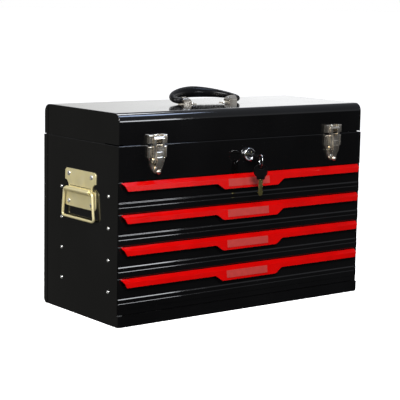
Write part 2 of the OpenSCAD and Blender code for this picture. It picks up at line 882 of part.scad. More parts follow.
// Blank label strip on the tab
module drawer_label(i) {
    label_drop = 1.2;              // from the crest to the label
    color([0.85, 0.55, 0.55])
        translate([0, front_y - pull_reach, drawer_top(i) - pull_crest]) rotate([-pull_rake, 0, 0])
            slab([label_x - label_size.x / 2, -label_size.z, -label_drop - label_size.y],
                 [label_x + label_size.x / 2, 0, -label_drop]);
}

// Folded tray with a channel along each side that runs in the slide
module drawer_tray(i) {
    floor_z = drawer_bottom(i) + 3;
    rim_z = drawer_top(i) - tray_top;
    runner = 5;
    web_x = tray_half_w + fit_gap;
    runner_x = tray_half_w + 9.4;
    rear = tray_y + tray_d;
    color(steel) {
        difference() {
            slab([-tray_half_w, tray_y, floor_z], [tray_half_w, rear, rim_z]);
            slab([-tray_half_w + sheet, tray_y + sheet, floor_z + sheet],
                 [tray_half_w - sheet, rear - sheet, rim_z + 1]);
        }
        both_sides() along_y(tray_y + 7, rear - 4) translate([0, rail_z(i)]) {
            rect([web_x, -runner], [web_x + sheet, runner]);
            rect([web_x, runner - sheet], [runner_x, runner]);
            rect([web_x, -runner], [runner_x, sheet - runner]);
        }
    }
}

module drawer_liner(i) {
    edge = 2.5;
    mat = 1.5;
    color(rubber) translate([0, 0, drawer_bottom(i) + 3 + sheet]) linear_extrude(mat)
        rect([-tray_half_w + edge, tray_y + edge], [tray_half_w - edge, tray_y + tray_d - edge]);
}

// ---------------------------------------------------------------- lock

keyway = [4.1, 1.15, 17];          // half width, half height and depth of the key's slot

module lock_plug() {
    face = front_y - 4;
    color(chrome) difference() {
        translate([0, 0, lock_z]) {
            rod_y(face, barrel_end, plug_r);
            rod_y(face, cam_y[1], tail_r);
        }
        slab([-keyway.x, face - 1, lock_z - keyway.y],
             [keyway.x, face + keyway.z, lock_z + keyway.y]);
    }
}

// Cam that stands up when the lock is open, with the screw that holds it
module lock_cam() {
    reach = 25;
    half = 6;
    color(steel) {
        difference() {
            along_y(cam_y[0], cam_y[1]) translate([0, lock_z]) {
                circle(8);
                rect([-half, 0], [half, reach]);
            }
            translate([0, 0, lock_z]) rod_y(cam_y[0] - 1, cam_y[1] + 1, tail_r + run);
        }
        translate([0, cam_y[1], lock_z]) rotate([-90, 0, 0]) dome(5, 2.2);
    }
}

// Cuts along one edge of a blade, as distances from its shoulder and depths
bitting = [[3, 1.2], [7, 2], [11, 0.8], [15, 1.7], [19, 1.1]];

// Blade drawn along +Y from its shoulder, flat in XY
module blade(len_y) {
    half = 3.6;
    linear_extrude(2) difference() {
        union() {
            rect([-half, 0], [half, len_y - half]);
            translate([0, len_y - half]) circle(half);
        }
        for (cut = bitting) translate([half, cut.x]) rotate(45) square(cut.y, center = true);
    }
}

// Moulded head drawn from its shoulder at Y = 0 back to the ring's slot
module head_outline(length, hole_r, bridge) {
    half = key_head_w / 2;
    difference() {
        union() {
            round_rect([-half, -length], [half, -4], 8);
            round_rect([-7, -10], [7, 0], 2);
        }
        for (x = [-key_slot, key_slot]) translate([x, -length + bridge + hole_r]) circle(hole_r);
        rect([-key_slot, bridge - length], [key_slot, bridge - length + 2 * hole_r]);
    }
}

key_shoulder = front_y - 7.5;
key_length = key_out + key_shoulder + 1.2;     // from the shoulder to the head's far edge

module key_blade() {
    color(brass) translate([0, key_shoulder, lock_z - 1]) blade(19);
}

module key_head() {
    color(rubber) translate([0, key_shoulder, lock_z - key_t / 2]) linear_extrude(key_t)
        head_outline(key_length, key_hole_r, 2.4);
}

// The hanging group is drawn about the bridge it swings on
module at_ring_bridge() {
    translate([0, -key_out, lock_z]) rotate([0, 0, -key_turn]) children();
}

module key_ring() {
    color(chrome) at_ring_bridge()
        translate([0, 0, ring_nip - key_ring_r]) rotate([0, 90, 0])
            rotate_extrude() translate([key_ring_r, 0]) circle(ring_wire, $fn = 24);
}

// Depth of the ring's lowest point below the bridge
ring_low = 2 * key_ring_r - ring_nip;
spare_hole_r = 2.6;
spare_bridge = 2.4;
spare_length = 25;
spare_top = ring_low - ring_wire - fit_gap - spare_bridge;

module spare_key_head() {
    color(rubber) at_ring_bridge() translate([0, key_t / 2, -spare_top - spare_length])
        rotate([90, 0, 0]) mirror([0, 1, 0]) linear_extrude(key_t)
            head_outline(spare_length, spare_hole_r, spare_bridge);
}

module spare_key_blade() {
    color(brass) at_ring_bridge() translate([0, 1, -spare_top - spare_length])
        rotate([90, 0, 0]) mirror([0, 1, 0]) blade(27);
}

// ---------------------------------------------------------------- nodes

side_panel_left();
side_panel_right();
back_panel();
base_pan();
till_front();
till_floor();
till_liner();
seal_lip();
slide_rails();
cabinet_rivets();
hinge_leaf_body();
hinge_pin();
side_plate_left();
side_plate_right();
lock_barrel();
lock_nut();
latch_bases();
lid_shell();
lid_ends();
hinge_leaf_lid();
latch_strikes();
lock_catch();
handle_brackets();
lid_rivets();
handle_grip();
handle_core();
bail_left();
bail_right();
drawer_front(1);  // drawer_1_front
drawer_pull(1);  // drawer_1_pull
drawer_label(1);  // drawer_1_label
drawer_tray(1);  // drawer_1_tray
drawer_liner(1);  // drawer_1_liner
drawer_front(2);  // drawer_2_front
drawer_pull(2);  // drawer_2_pull
drawer_label(2);  // drawer_2_label
drawer_tray(2);  // drawer_2_tray
drawer_liner(2);  // drawer_2_liner
drawer_front(3);  // drawer_3_front
drawer_pull(3);  // drawer_3_pull
drawer_label(3);  // drawer_3_label
drawer_tray(3);  // drawer_3_tray
drawer_liner(3);  // drawer_3_liner
drawer_front(4);  // drawer_4_front
drawer_pull(4);  // drawer_4_pull
drawer_label(4);  // drawer_4_label
drawer_tray(4);  // drawer_4_tray
drawer_liner(4);  // drawer_4_liner
latch_left_claw();
latch_left_lever();
latch_right_claw();
latch_right_lever();
lock_plug();
lock_cam();
key_blade();
key_head();
key_ring();
spare_key_blade();
spare_key_head();
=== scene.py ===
"""Portable tool box with four drawers: the finished look of every piece."""

import json
import math

import bmesh
import bpy
from mathutils import Matrix, Vector

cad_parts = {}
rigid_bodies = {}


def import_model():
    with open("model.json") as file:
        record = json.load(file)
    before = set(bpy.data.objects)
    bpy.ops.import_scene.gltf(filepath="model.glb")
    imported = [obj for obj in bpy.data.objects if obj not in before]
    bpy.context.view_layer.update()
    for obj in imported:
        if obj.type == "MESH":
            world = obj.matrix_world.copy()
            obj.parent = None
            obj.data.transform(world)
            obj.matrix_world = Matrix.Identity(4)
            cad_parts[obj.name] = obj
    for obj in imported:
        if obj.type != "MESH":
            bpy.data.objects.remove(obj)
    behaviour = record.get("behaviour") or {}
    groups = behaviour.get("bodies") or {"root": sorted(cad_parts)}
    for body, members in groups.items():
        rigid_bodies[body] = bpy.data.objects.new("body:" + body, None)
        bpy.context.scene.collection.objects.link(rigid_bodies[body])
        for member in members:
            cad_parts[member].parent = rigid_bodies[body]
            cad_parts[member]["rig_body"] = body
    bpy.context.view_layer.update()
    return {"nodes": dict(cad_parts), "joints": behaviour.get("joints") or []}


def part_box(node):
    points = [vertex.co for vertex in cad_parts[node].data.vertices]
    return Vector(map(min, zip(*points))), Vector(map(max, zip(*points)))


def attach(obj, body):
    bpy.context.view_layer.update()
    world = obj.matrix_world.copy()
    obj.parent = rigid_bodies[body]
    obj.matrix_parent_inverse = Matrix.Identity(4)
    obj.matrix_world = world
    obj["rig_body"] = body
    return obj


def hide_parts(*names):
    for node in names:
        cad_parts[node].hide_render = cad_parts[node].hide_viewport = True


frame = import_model()

bl_info = {
    "name": "Drawer Tool Box",
    "version": (1, 0, 0),
    "blender": (4, 5, 0),
    "location": "View3D > Sidebar > Tool Box",
    "description": "Builds and finishes the pieces of a portable tool box with drawers",
    "category": "Add Mesh",
}

MM = 0.001
SIDES = ("left", "right")
DRAWERS = (1, 2, 3, 4)
Z = Vector((0, 0, 1))
FRONT = Vector((0, -1, 0))

# Ends a finish's name, so that it isn't taken for the CAD's plain material of that name
FINISH_MARK = "_finish"

# Points that are closer than this, in metres, become one
WELD = 1e-6
FINE_WELD = 1e-7

# A face looks one way when at least this much of its normal points there
FACING = 0.9

LID_LO, LID_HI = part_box("lid_shell")
JOINTS = {joint["name"]: joint for joint in frame["joints"]}


def pivot(joint):
    """Point on a joint's axis."""
    return Vector(JOINTS[joint]["pos_m"])


# ---------------------------------------------------------------- settings

def length(name, text, default):
    return bpy.props.FloatProperty(
        name=name, description=text, default=default, min=0.0, precision=5,
        unit="LENGTH", subtype="DISTANCE")


def colour(name, text, default):
    return bpy.props.FloatVectorProperty(
        name=name, description=text, default=default, size=3, min=0.0, max=1.0, subtype="COLOR")


def share(name, text, default):
    return bpy.props.FloatProperty(
        name=name, description=text, default=default, min=0.0, max=1.0, subtype="FACTOR")


def angle(name, text, default):
    return bpy.props.FloatProperty(
        name=name, description=text, default=math.radians(default), precision=4,
        unit="ROTATION", subtype="ANGLE")


class SheetSettings(bpy.types.PropertyGroup):
    """Sizes of the folded sheet metal."""

    thickness: length("Sheet thickness", "Thickness of the case's sheet", 1.0 * MM)
    edge: length("Sheet edge", "Rounding of a painted sheet's cut edges", 0.35 * MM)
    lid_radius: length("Lid radius", "Radius of the lid's front and rear top edges", 14 * MM)
    lid_notch: length("Lid notch", "Length of the notch at the lid's front corners", 7 * MM)
    notch_height: length("Notch height", "Height of that notch", 1.4 * MM)
    seam_fold: length("Seam fold", "Rounding of the cabinet's front edge at the seam", 1.1 * MM)
    hinge_edge: length("Hinge edge", "Rounding of the piano hinge's leaves", 0.15 * MM)


class DrawerSettings(bpy.types.PropertyGroup):
    """Sizes of the drawers' visible parts."""

    bead_box: length("Bead box", "From a front's flat face to the front of its box", 1.4 * MM)
    first_top: length("First step", "From the top of a front to its upper pressed step", 31.2 * MM)
    first_out: length("First step height", "How far the upper step stands out", 0.52 * MM)
    first_ramp: length("First step ramp", "Width of the upper step's soft flank", 2.6 * MM)
    second_top: length("Second step", "From the top of a front to its lower pressed step", 39.2 * MM)
    second_out: length("Second step height", "What the lower step adds to the upper", 0.22 * MM)
    second_ramp: length("Second step ramp", "Width of the lower step's soft flank", 1.2 * MM)
    return_top: length("Return", "From the top of a front to the bend back into its face", 48.6 * MM)
    return_ramp: length("Return ramp", "Width of that bend", 1.4 * MM)
    face_edge: length("Front edge", "Rounding of a drawer front's cut edges", 0.2 * MM)
    pull_edge: length("Pull edge", "Rounding of the pull strip's edges", 0.5 * MM)
    tab_radius: length("Tab radius", "Rounding of the tab's corners", 3 * MM)
    label_edge: length("Label edge", "Rounding of the blank label strip", 0.2 * MM)
    tray_edge: length("Tray edge", "Rounding of the trays' edges", 0.25 * MM)
    mat_edge: length("Mat edge", "Rounding of the mats in the drawers and the till", 0.4 * MM)


class FittingSettings(bpy.types.PropertyGroup):
    """Sizes of the plated fittings."""

    edge: length("Fitting edge", "Rounding of stamped fittings", 0.4 * MM)
    channel_edge: length("Channel edge", "Rounding of the claws and levers", 0.28 * MM)
    top_edge: length("Latch top edge", "Rounding of the latches' upper edges", 1.7 * MM)
    hood_edge: length("Hood edge", "Rounding of the handle's brackets", 1.6 * MM)
    core_edge: length("Core edge", "Rounding of the handle's steel core", 0.1 * MM)
    rivet_bore: share("Rivet bore", "Width of a rivet's hollow as a share of its head", 0.36)
    rivet_lip: length("Rivet lip", "Rounding of the hollow's lip", 0.22 * MM)
    wire: length("Bail wire", "Radius of the bail's wire", 2.2 * MM)
    bend: length("Bail bend", "Radius of the bail's bends", 5 * MM)
    bail_end: length("Bail end", "From a bail's middle to an end of its wire", 21 * MM)
    bail_shoulder: length("Bail shoulder", "From a bail's middle to its upper bends", 42 * MM)
    bail_gap: length("Bail gap", "How far the wire stays inside the bail's box", 0.1 * MM)
    lock_edge: length("Lock edge", "Rounding of the lock's rosette", 0.3 * MM)
    plug_edge: length("Plug edge", "Rounding of the lock's plug", 0.2 * MM)
    head_edge: length("Key head edge", "Rounding of the keys' heads", 0.45 * MM)
    blade_edge: length("Key blade edge", "Rounding of the keys' blades", 0.15 * MM)
    ring_wire: length("Ring wire", "Radius of the key ring's wound wire", 0.42 * MM)
    ring_inset: length("Ring inset", "From the ring's box to the middle of its wire", 0.8 * MM)


class FinishSettings(bpy.types.PropertyGroup):
    """Colours of the finishes."""

    enamel: colour("Black enamel", "Gloss black paint of the case", (0.0017, 0.0017, 0.0018))
    powder: colour("Black powder", "Satin black of the trays and till", (0.014, 0.014, 0.015))
    red: colour("Red enamel", "Gloss red of the pulls", (0.50, 0.0012, 0.0009))
    label: colour("Label", "Blank label strips", (0.36, 0.036, 0.031))
    nickel: colour("Nickel", "Plating of the latches and brackets", (0.86, 0.80, 0.70))
    chrome: colour("Chrome", "Plating of the lock and key ring", (0.80, 0.81, 0.83))
    zinc: colour("Yellow zinc", "Plating of the side plates and bails", (0.79, 0.70, 0.39))
    rivet: colour("Rivet", "Plating of the rivets and hinge pin", (0.74, 0.74, 0.72))
    steel: colour("Galvanised steel", "Slides, hinge and the lock's inner parts", (0.45, 0.46, 0.47))
    rubber: colour("Grip rubber", "Soft grip of the top handle", (0.0018, 0.0018, 0.0021))
    key_head: colour("Key head", "Moulded heads of the keys", (0.0012, 0.0012, 0.0013))
    brass: colour("Key brass", "Blades of the keys", (0.42, 0.38, 0.14))
    foam: colour("Liner", "Mats in the drawers and the till", (0.018, 0.018, 0.019))
    floor: colour("Floor", "The floor that the box stands on", (0.92, 0.92, 0.92))


class StageSettings(bpy.types.PropertyGroup):
    """Camera and lights."""

    azimuth: angle("Azimuth", "Direction of the camera round the box", -37.50)
    elevation: angle("Elevation", "Height of the camera above the horizon", 8.563)
    roll: angle("Roll", "Turn of the camera about its own axis", 1.092)
    distance: length("Distance", "From the camera to its target", 2.3464)
    lens: bpy.props.FloatProperty(
        name="Lens", description="Focal length", default=121.18, unit="CAMERA")
    target: bpy.props.FloatVectorProperty(
        name="Target", description="Point that the camera looks at",
        default=(-0.01317, 0.0, 0.17262), size=3, unit="LENGTH", subtype="TRANSLATION")


GROUPS = {
    "sheets": SheetSettings, "drawers": DrawerSettings, "fittings": FittingSettings,
    "finishes": FinishSettings, "stage": StageSettings,
}


def settings(group):
    return getattr(bpy.context.scene, "tool_box_" + group)


def finish_rgb(name):
    return tuple(getattr(settings("finishes"), name))


# ---------------------------------------------------------------- meshes

def welded(node):
    """The node's surface, its triangles joined at their corners."""
    bm = bmesh.new()
    bm.from_mesh(frame["nodes"][node].data)
    bmesh.ops.remove_doubles(bm, verts=bm.verts, dist=WELD)
    return bm


def cad_copy(node, flat=0.4):
    """The node's surface as clean faces, ready to be rounded.
    Triangles that meet within flat degrees become one face."""
    bm = welded(node)
    bmesh.ops.dissolve_limit(
        bm, angle_limit=math.radians(flat), use_dissolve_boundaries=False,
        verts=bm.verts, edges=bm.edges, delimit={"NORMAL"})
    return bm


def only(geometry, kind):
    """The verts, edges or faces among what a mesh operation made."""
    return [item for item in geometry if isinstance(item, kind)]


def sharp_edges(bm, least=35):
    """Edges whose faces meet at more than the given angle."""
    return [e for e in bm.edges
            if len(e.link_faces) == 2 and e.calc_face_angle(0) > math.radians(least)]


def runs_along_x(edge, straight=0.99):
    return abs(edge.verts[0].co.x - edge.verts[1].co.x) > straight * edge.calc_length()


def edges_along_x(bm, y, z, reach=0.02 * MM):
    """Edges parallel to X at a depth and height."""
    return [e for e in bm.edges if runs_along_x(e) and all(
        abs(v.co.y - y) < reach and abs(v.co.z - z) < reach for v in e.verts)]


def bevel(bm, edges, width, steps=2):
    """Rounds edges of the mesh."""
    bmesh.ops.bevel(
        bm, geom=edges, offset=width, offset_type="OFFSET", segments=steps, profile=0.5,
        affect="EDGES", clamp_overlap=True, material=-1, loop_slide=True)


def soften(bm, width, steps=2, least=35):
    """Rounds every sharp edge."""
    bevel(bm, sharp_edges(bm, least), width, steps)
    bmesh.ops.remove_doubles(bm, verts=bm.verts, dist=WELD)
    return bm


def sheet_along_x(outline, stations):
    """Open sheet through (y, z) points, drawn along X from station to station."""
    bm = bmesh.new()
    verts = [bm.verts.new((stations[0], y, z)) for y, z in outline]
    strip = [bm.edges.new(pair) for pair in zip(verts, verts[1:])]
    for start, end in zip(stations, stations[1:]):
        made = bmesh.ops.extrude_edge_only(bm, edges=strip)["geom"]
        strip = only(made, bmesh.types.BMEdge)
        bmesh.ops.translate(bm, vec=(end - start, 0, 0), verts=only(made, bmesh.types.BMVert))
    return bm


def thicken(bm, outward):
    """Gives an open sheet its thickness, inward from the side that looks outward."""
    bmesh.ops.recalc_face_normals(bm, faces=bm.faces)
    if sum((f.normal for f in bm.faces), Vector()).dot(outward) < 0:
        bmesh.ops.reverse_faces(bm, faces=bm.faces)
    bmesh.ops.solidify(bm, geom=bm.faces, thickness=settings("sheets").thickness)


def put(bm, name, body, finish, replaces, weighted=True):
    """Turns a bmesh into a finished piece that rides on a body and stands for CAD nodes."""
    mesh = bpy.data.meshes.new(name)
    bm.to_mesh(mesh)
    bm.free()
    mesh.shade_smooth()
    piece = bpy.data.objects.new(name, mesh)
    bpy.context.scene.collection.objects.link(piece)
    for one in (finish if isinstance(finish, list) else [finish]):
        mesh.materials.append(material(one))
    if weighted:
        normals = piece.modifiers.new("Even normals", "WEIGHTED_NORMAL")
        normals.weight = 60
        normals.keep_sharp = True
    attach(piece, body)
    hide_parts(*replaces)
    return piece


def refine(node, name, finish, width, steps=2, least=35):
    """A rounded copy of a CAD node that stands for it."""
    bm = soften(cad_copy(node), width, steps, least)
    put(bm, name, frame["nodes"][node]["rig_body"], finish, [node])


def dress(node, finish, width=0.2 * MM):
    """Keeps a CAD node and gives it rounded edges and a finish."""
    piece = frame["nodes"][node]
    piece.data.materials.clear()
    piece.data.materials.append(material(finish))
    weld = piece.modifiers.new("Weld", "WELD")
    weld.merge_threshold = WELD
    rounding = piece.modifiers.new("Edges", "BEVEL")
    rounding.width = width
    rounding.segments = 2
    rounding.limit_method = "ANGLE"
    rounding.angle_limit = math.radians(40)


def turned(outline, place, steps=24):
    """Body of revolution about +Z from (radius, height) points, moved by a matrix.
    The outline starts and ends on the axis."""
    bm = bmesh.new()
    verts = [bm.verts.new((r, 0, h)) for r, h in outline]
    edges = [bm.edges.new(pair) for pair in zip(verts, verts[1:])]
    bmesh.ops.spin(bm, geom=verts + edges, cent=(0, 0, 0), axis=(0, 0, 1),
                   angle=2 * math.pi, steps=steps, use_merge=True)
    bmesh.ops.remove_doubles(bm, verts=bm.verts, dist=FINE_WELD)
    bmesh.ops.recalc_face_normals(bm, faces=bm.faces)
    bmesh.ops.transform(bm, matrix=place, verts=bm.verts)
    return bm


def join(parts):
    """One bmesh from several, which keep their faces apart."""
    whole = bmesh.new()
    for part in parts:
        scratch = bpy.data.meshes.new("scratch")
        part.to_mesh(scratch)
        part.free()
        whole.from_mesh(scratch)
        bpy.data.meshes.remove(scratch)
    return whole


def aim(point, direction):
    """Matrix that puts a shape drawn along +Z at a point, facing a direction."""
    turn = Vector(direction).to_track_quat("Z", "Y").to_matrix().to_4x4()
    return Matrix.Translation(point) @ turn


def arc(centre, radius, start, end, steps):
    """(radius, height) points along part of a circle, with angles in degrees."""
    angles = [math.radians(start + (end - start) * i / steps) for i in range(steps + 1)]
    return [(centre[0] + radius * math.cos(a), centre[1] + radius * math.sin(a)) for a in angles]


# ---------------------------------------------------------------- shader groups

def add_node(tree, kind, values=None, **options):
    """A node with its options set and its inputs set or linked."""
    node = tree.nodes.new(kind)
    for key, value in options.items():
        setattr(node, key, value)
    for key, value in (values or {}).items():
        socket = node.inputs[key]
        if isinstance(value, bpy.types.NodeSocket):
            tree.links.new(value, socket)
        else:
            socket.default_value = value
    return node


def math_node(tree, operation, first, second, clamp=False):
    """Sum, product or other simple result of two values."""
    node = add_node(tree, "ShaderNodeMath", {0: first, 1: second},
                    operation=operation, use_clamp=clamp)
    return node.outputs[0]


def ramp(tree, value, low, high, start=0.0, end=1.0):
    """Maps low..high to start..end and holds it there."""
    node = add_node(tree, "ShaderNodeMapRange", {
        "Value": value, "From Min": low, "From Max": high, "To Min": start, "To Max": end},
        clamp=True)
    return node.outputs["Result"]


def new_group(name, inputs, output):
    """Shader group with float inputs and one float output.
    Returns the tree, its inputs and the socket of its output."""
    tree = bpy.data.node_groups.new(name, "ShaderNodeTree")
    for label, value in inputs.items():
        socket = tree.interface.new_socket(label, in_out="INPUT", socket_type="NodeSocketFloat")
        socket.default_value = value
    tree.interface.new_socket(output, in_out="OUTPUT", socket_type="NodeSocketFloat")
    given = tree.nodes.new("NodeGroupInput").outputs
    return tree, given, tree.nodes.new("NodeGroupOutput").inputs[output]


def object_noise(tree, scale, detail=2.0, stretch=(1, 1, 1)):
    """Noise that stays put on the object."""
    place = add_node(tree, "ShaderNodeTexCoord").outputs["Object"]
    mapped = add_node(tree, "ShaderNodeMapping", {"Vector": place, "Scale": stretch})
    noise = add_node(tree, "ShaderNodeTexNoise", {
        "Vector": mapped.outputs[0], "Scale": scale, "Detail": detail})
    return noise.outputs["Fac"]


def make_smudges():
    """Soft uneven patches, from 0 to 1."""
    tree, given, mask = new_group("Smudges", {"Scale": 14.0, "Low": 0.38, "High": 0.68}, "Mask")
    noise = object_noise(tree, given["Scale"], detail=5.0)
    tree.links.new(ramp(tree, noise, given["Low"], given["High"]), mask)
    return tree


def make_edge_wear(softness=0.08):
    """Worn edges: where the surface is sharply convex, broken up by noise."""
    tree, given, mask = new_group("Edge wear", {"Start": 0.56, "Amount": 1.0}, "Mask")
    convex = add_node(tree, "ShaderNodeNewGeometry").outputs["Pointiness"]
    edge = ramp(tree, convex, given["Start"], math_node(tree, "ADD", given["Start"], softness))
    patches = ramp(tree, object_noise(tree, scale=120.0, detail=4.0), low=0.45, high=0.7)
    broken = math_node(tree, "MULTIPLY", edge, patches)
    tree.links.new(math_node(tree, "MULTIPLY", broken, given["Amount"], clamp=True), mask)
    return tree


def make_scratches():
    """Sparse fine scratches in two directions."""
    tree, given, mask = new_group("Scratches", {"Amount": 1.0}, "Mask")
    ways = []
    for stretch in ((12, 900, 900), (900, 14, 700)):
        lines = object_noise(tree, scale=1.0, detail=2.0, stretch=stretch)
        places = object_noise(tree, scale=11.0, detail=1.0)
        ways.append(math_node(tree, "MULTIPLY", ramp(tree, lines, low=0.70, high=0.76),
                              ramp(tree, places, low=0.52, high=0.66)))
    both = math_node(tree, "MAXIMUM", *ways)
    tree.links.new(math_node(tree, "MULTIPLY", both, given["Amount"], clamp=True), mask)
    return tree


def make_dust(film_share=0.25):
    """Thin dust on surfaces that face up: a film with specks in it."""
    tree, given, mask = new_group("Dust", {"Amount": 1.0}, "Mask")
    normal = add_node(tree, "ShaderNodeNewGeometry").outputs["Normal"]
    rise = add_node(tree, "ShaderNodeSeparateXYZ", {0: normal}).outputs["Z"]
    up = ramp(tree, rise, low=0.75, high=1.0)
    specks = ramp(tree, object_noise(tree, scale=900.0, detail=2.0), low=0.62, high=0.74)
    film = math_node(tree, "MULTIPLY", object_noise(tree, scale=9.0, detail=3.0), film_share)
    both = math_node(tree, "MULTIPLY", math_node(tree, "ADD", specks, film), up)
    tree.links.new(math_node(tree, "MULTIPLY", both, given["Amount"], clamp=True), mask)
    return tree


def make_relief():
    """Height of a coated surface: a slow wave of the sheet and a fine peel of the coat."""
    tree, given, height = new_group(
        "Surface relief", {"Wave": 1.0, "Peel": 1.0, "Peel Scale": 500.0}, "Height")
    slow = object_noise(tree, scale=9.0, detail=1.0)
    fine = object_noise(tree, given["Peel Scale"], detail=2.0)
    wave = math_node(tree, "MULTIPLY", slow, given["Wave"])
    peel = math_node(tree, "MULTIPLY", fine, given["Peel"])
    tree.links.new(math_node(tree, "ADD", wave, peel), height)
    return tree


def make_drawn_lines():
    """Fine lines that run along X, as on drawn metal."""
    tree, given, height = new_group("Drawn lines", {"Fine": 1.0}, "Height")
    lines = object_noise(tree, scale=1.0, detail=3.0, stretch=(160, 2600, 2600))
    tree.links.new(math_node(tree, "MULTIPLY", lines, given["Fine"]), height)
    return tree


EFFECTS = {
    "Smudges": make_smudges, "Edge wear": make_edge_wear, "Scratches": make_scratches,
    "Dust": make_dust, "Surface relief": make_relief, "Drawn lines": make_drawn_lines,
}


def effect(tree, name, **values):
    """Places a shared effect in a material and returns its output."""
    group = bpy.data.node_groups.get(name) or EFFECTS[name]()
    node = add_node(tree, "ShaderNodeGroup", node_tree=group)
    for key, value in values.items():
        node.inputs[key.replace("_", " ")].default_value = value
    return node.outputs[0]


# ---------------------------------------------------------------- materials

# Sockets of a mix node that is set to mix colours
MIX_FACTOR, MIX_FIRST, MIX_SECOND, MIX_RESULT = 0, 6, 7, 2


def blend(tree, factor, first, second):
    """Colour mix."""
    node = add_node(tree, "ShaderNodeMix", data_type="RGBA", clamp_factor=True)
    tree.links.new(factor, node.inputs[MIX_FACTOR])
    for socket, value in ((MIX_FIRST, first), (MIX_SECOND, second)):
        if isinstance(value, bpy.types.NodeSocket):
            tree.links.new(value, node.inputs[socket])
        else:
            node.inputs[socket].default_value = (*value, 1)
    return node.outputs[MIX_RESULT]


def scaled(rgb, factor):
    """A lighter or darker tone of a colour."""
    return tuple(min(1.0, c * factor) for c in rgb)


def mottled(rgb, factor, scale, **limits):
    """Colour that drifts in patches towards a lighter or darker tone."""
    return lambda tree: blend(
        tree, effect(tree, "Smudges", Scale=scale, **limits), rgb, scaled(rgb, factor))


def drift(scale, low, high):
    """Roughness that drifts in patches between two values."""
    return lambda tree: ramp(tree, effect(tree, "Smudges", Scale=scale), 0.0, 1.0, low, high)


def coat(peel, scale, wave=0.0):
    """Height of a coat's peel, and of the slow wave under it."""
    return lambda tree: effect(tree, "Surface relief", Wave=wave, Peel=peel, Peel_Scale=scale)


def shade(name, tint, gloss, height=None, depth=0.01 * MM, **constants):
    """Material with one Principled shader. tint, gloss and height each add their nodes
    to the tree and return the output for its colour, roughness or bump."""
    made = bpy.data.materials.new(name + FINISH_MARK)
    made.use_nodes = True
    tree = made.node_tree
    tree.nodes.clear()
    shader = add_node(tree, "ShaderNodeBsdfPrincipled", {
        key.replace("_", " "): value for key, value in constants.items()})
    add_node(tree, "ShaderNodeOutputMaterial", {"Surface": shader.outputs[0]})
    tree.links.new(tint(tree), shader.inputs["Base Color"])
    tree.links.new(gloss(tree), shader.inputs["Roughness"])
    if height:
        bump = add_node(tree, "ShaderNodeBump", {
            "Height": height(tree), "Strength": 1.0, "Distance": depth})
        tree.links.new(bump.outputs[0], shader.inputs["Normal"])
    return made


def gloss_enamel(mark_share=0.22, dust_share=0.10):
    """Deep gloss black paint on sheet steel."""
    black = finish_rgb("enamel")
    dust_rgb, worn_rgb = (0.25, 0.24, 0.22), (0.10, 0.10, 0.10)

    def tint(tree):
        base = mottled(black, 1.8, scale=6.0)(tree)
        dusty = blend(tree, effect(tree, "Dust", Amount=0.05), base, dust_rgb)
        return blend(tree, effect(tree, "Edge wear", Amount=0.18, Start=0.60), dusty, worn_rgb)

    def gloss(tree):
        base = drift(16.0, 0.05, 0.10)(tree)
        marks = math_node(tree, "MULTIPLY", effect(tree, "Scratches"), mark_share)
        dust = math_node(tree, "MULTIPLY", effect(tree, "Dust"), dust_share)
        return math_node(tree, "ADD", base, math_node(tree, "ADD", marks, dust), clamp=True)

    return shade("gloss_enamel", tint, gloss, coat(peel=0.10, scale=420.0, wave=5.0),
                 IOR=1.5, Coat_Weight=0.35, Coat_Roughness=0.03)


def satin_powder():
    """Satin black powder coat of the trays and the till's floor."""
    black, worn_rgb = finish_rgb("powder"), (0.20, 0.20, 0.20)
    return shade(
        "satin_powder",
        lambda tree: blend(tree, effect(tree, "Edge wear", Amount=0.5), black, worn_rgb),
        drift(20.0, 0.34, 0.46), coat(peel=1.0, scale=1400.0, wave=0.5), depth=0.03 * MM)


def red_enamel():
    """Gloss red paint of the pulls."""
    red, worn_rgb = finish_rgb("red"), (0.60, 0.05, 0.045)

    def tint(tree):
        base = mottled(red, 0.86, scale=25.0)(tree)
        return blend(tree, effect(tree, "Edge wear", Amount=0.25, Start=0.60), base, worn_rgb)

    return shade("red_enamel", tint, drift(30.0, 0.16, 0.26), coat(peel=0.3, scale=700.0, wave=1.0),
                 Specular_IOR_Level=0.10, Coat_Weight=0.05, Coat_Roughness=0.05)


def label_strip():
    """Blank printed strip."""
    return shade("label_strip", mottled(finish_rgb("label"), 1.12, scale=160.0),
                 drift(60.0, 0.30, 0.42), coat(peel=0.4, scale=2200.0), Specular_IOR_Level=0.12)


def plated(name, rgb, rough, peel, stain=0.0, stain_rgb=(0.3, 0.25, 0.15), grain=650.0, metal=1.0):
    """Plated metal with uneven gloss, stained patches, and worn edges in a lighter tone that also
    paints a highlight on them.
    """
    mark_share, edge_wear_and_highlight = 0.12, 1.25

    def tint(tree):
        patches = effect(tree, "Smudges", Scale=70.0, Low=0.45, High=0.75)
        base = blend(tree, math_node(tree, "MULTIPLY", patches, stain), rgb, stain_rgb)
        # worn convex edges take a lighter copy of the plating: rubbed wear and a painted highlight
        return blend(tree, effect(tree, "Edge wear", Amount=0.5), base, scaled(rgb, edge_wear_and_highlight))

    def gloss(tree):
        marks = math_node(tree, "MULTIPLY", effect(tree, "Scratches"), mark_share)
        return math_node(tree, "ADD", drift(45.0, *rough)(tree), marks, clamp=True)

    return shade(name, tint, gloss, coat(peel, grain), Metallic=metal)


def galvanised():
    """Zinc coated steel with faint drawn lines."""
    return shade("galvanised", mottled(finish_rgb("steel"), 1.3, scale=90.0, Low=0.3, High=0.7),
                 drift(60.0, 0.32, 0.48), lambda tree: effect(tree, "Drawn lines", Fine=0.6),
                 Metallic=0.9)


def moulded(name, rgb, rough, grain, specular):
    """Moulded rubber or plastic with a fine grain."""
    return shade(name, mottled(rgb, 1.6, scale=40.0), drift(50.0, *rough), coat(1.0, grain),
                 depth=0.03 * MM, Specular_IOR_Level=specular)


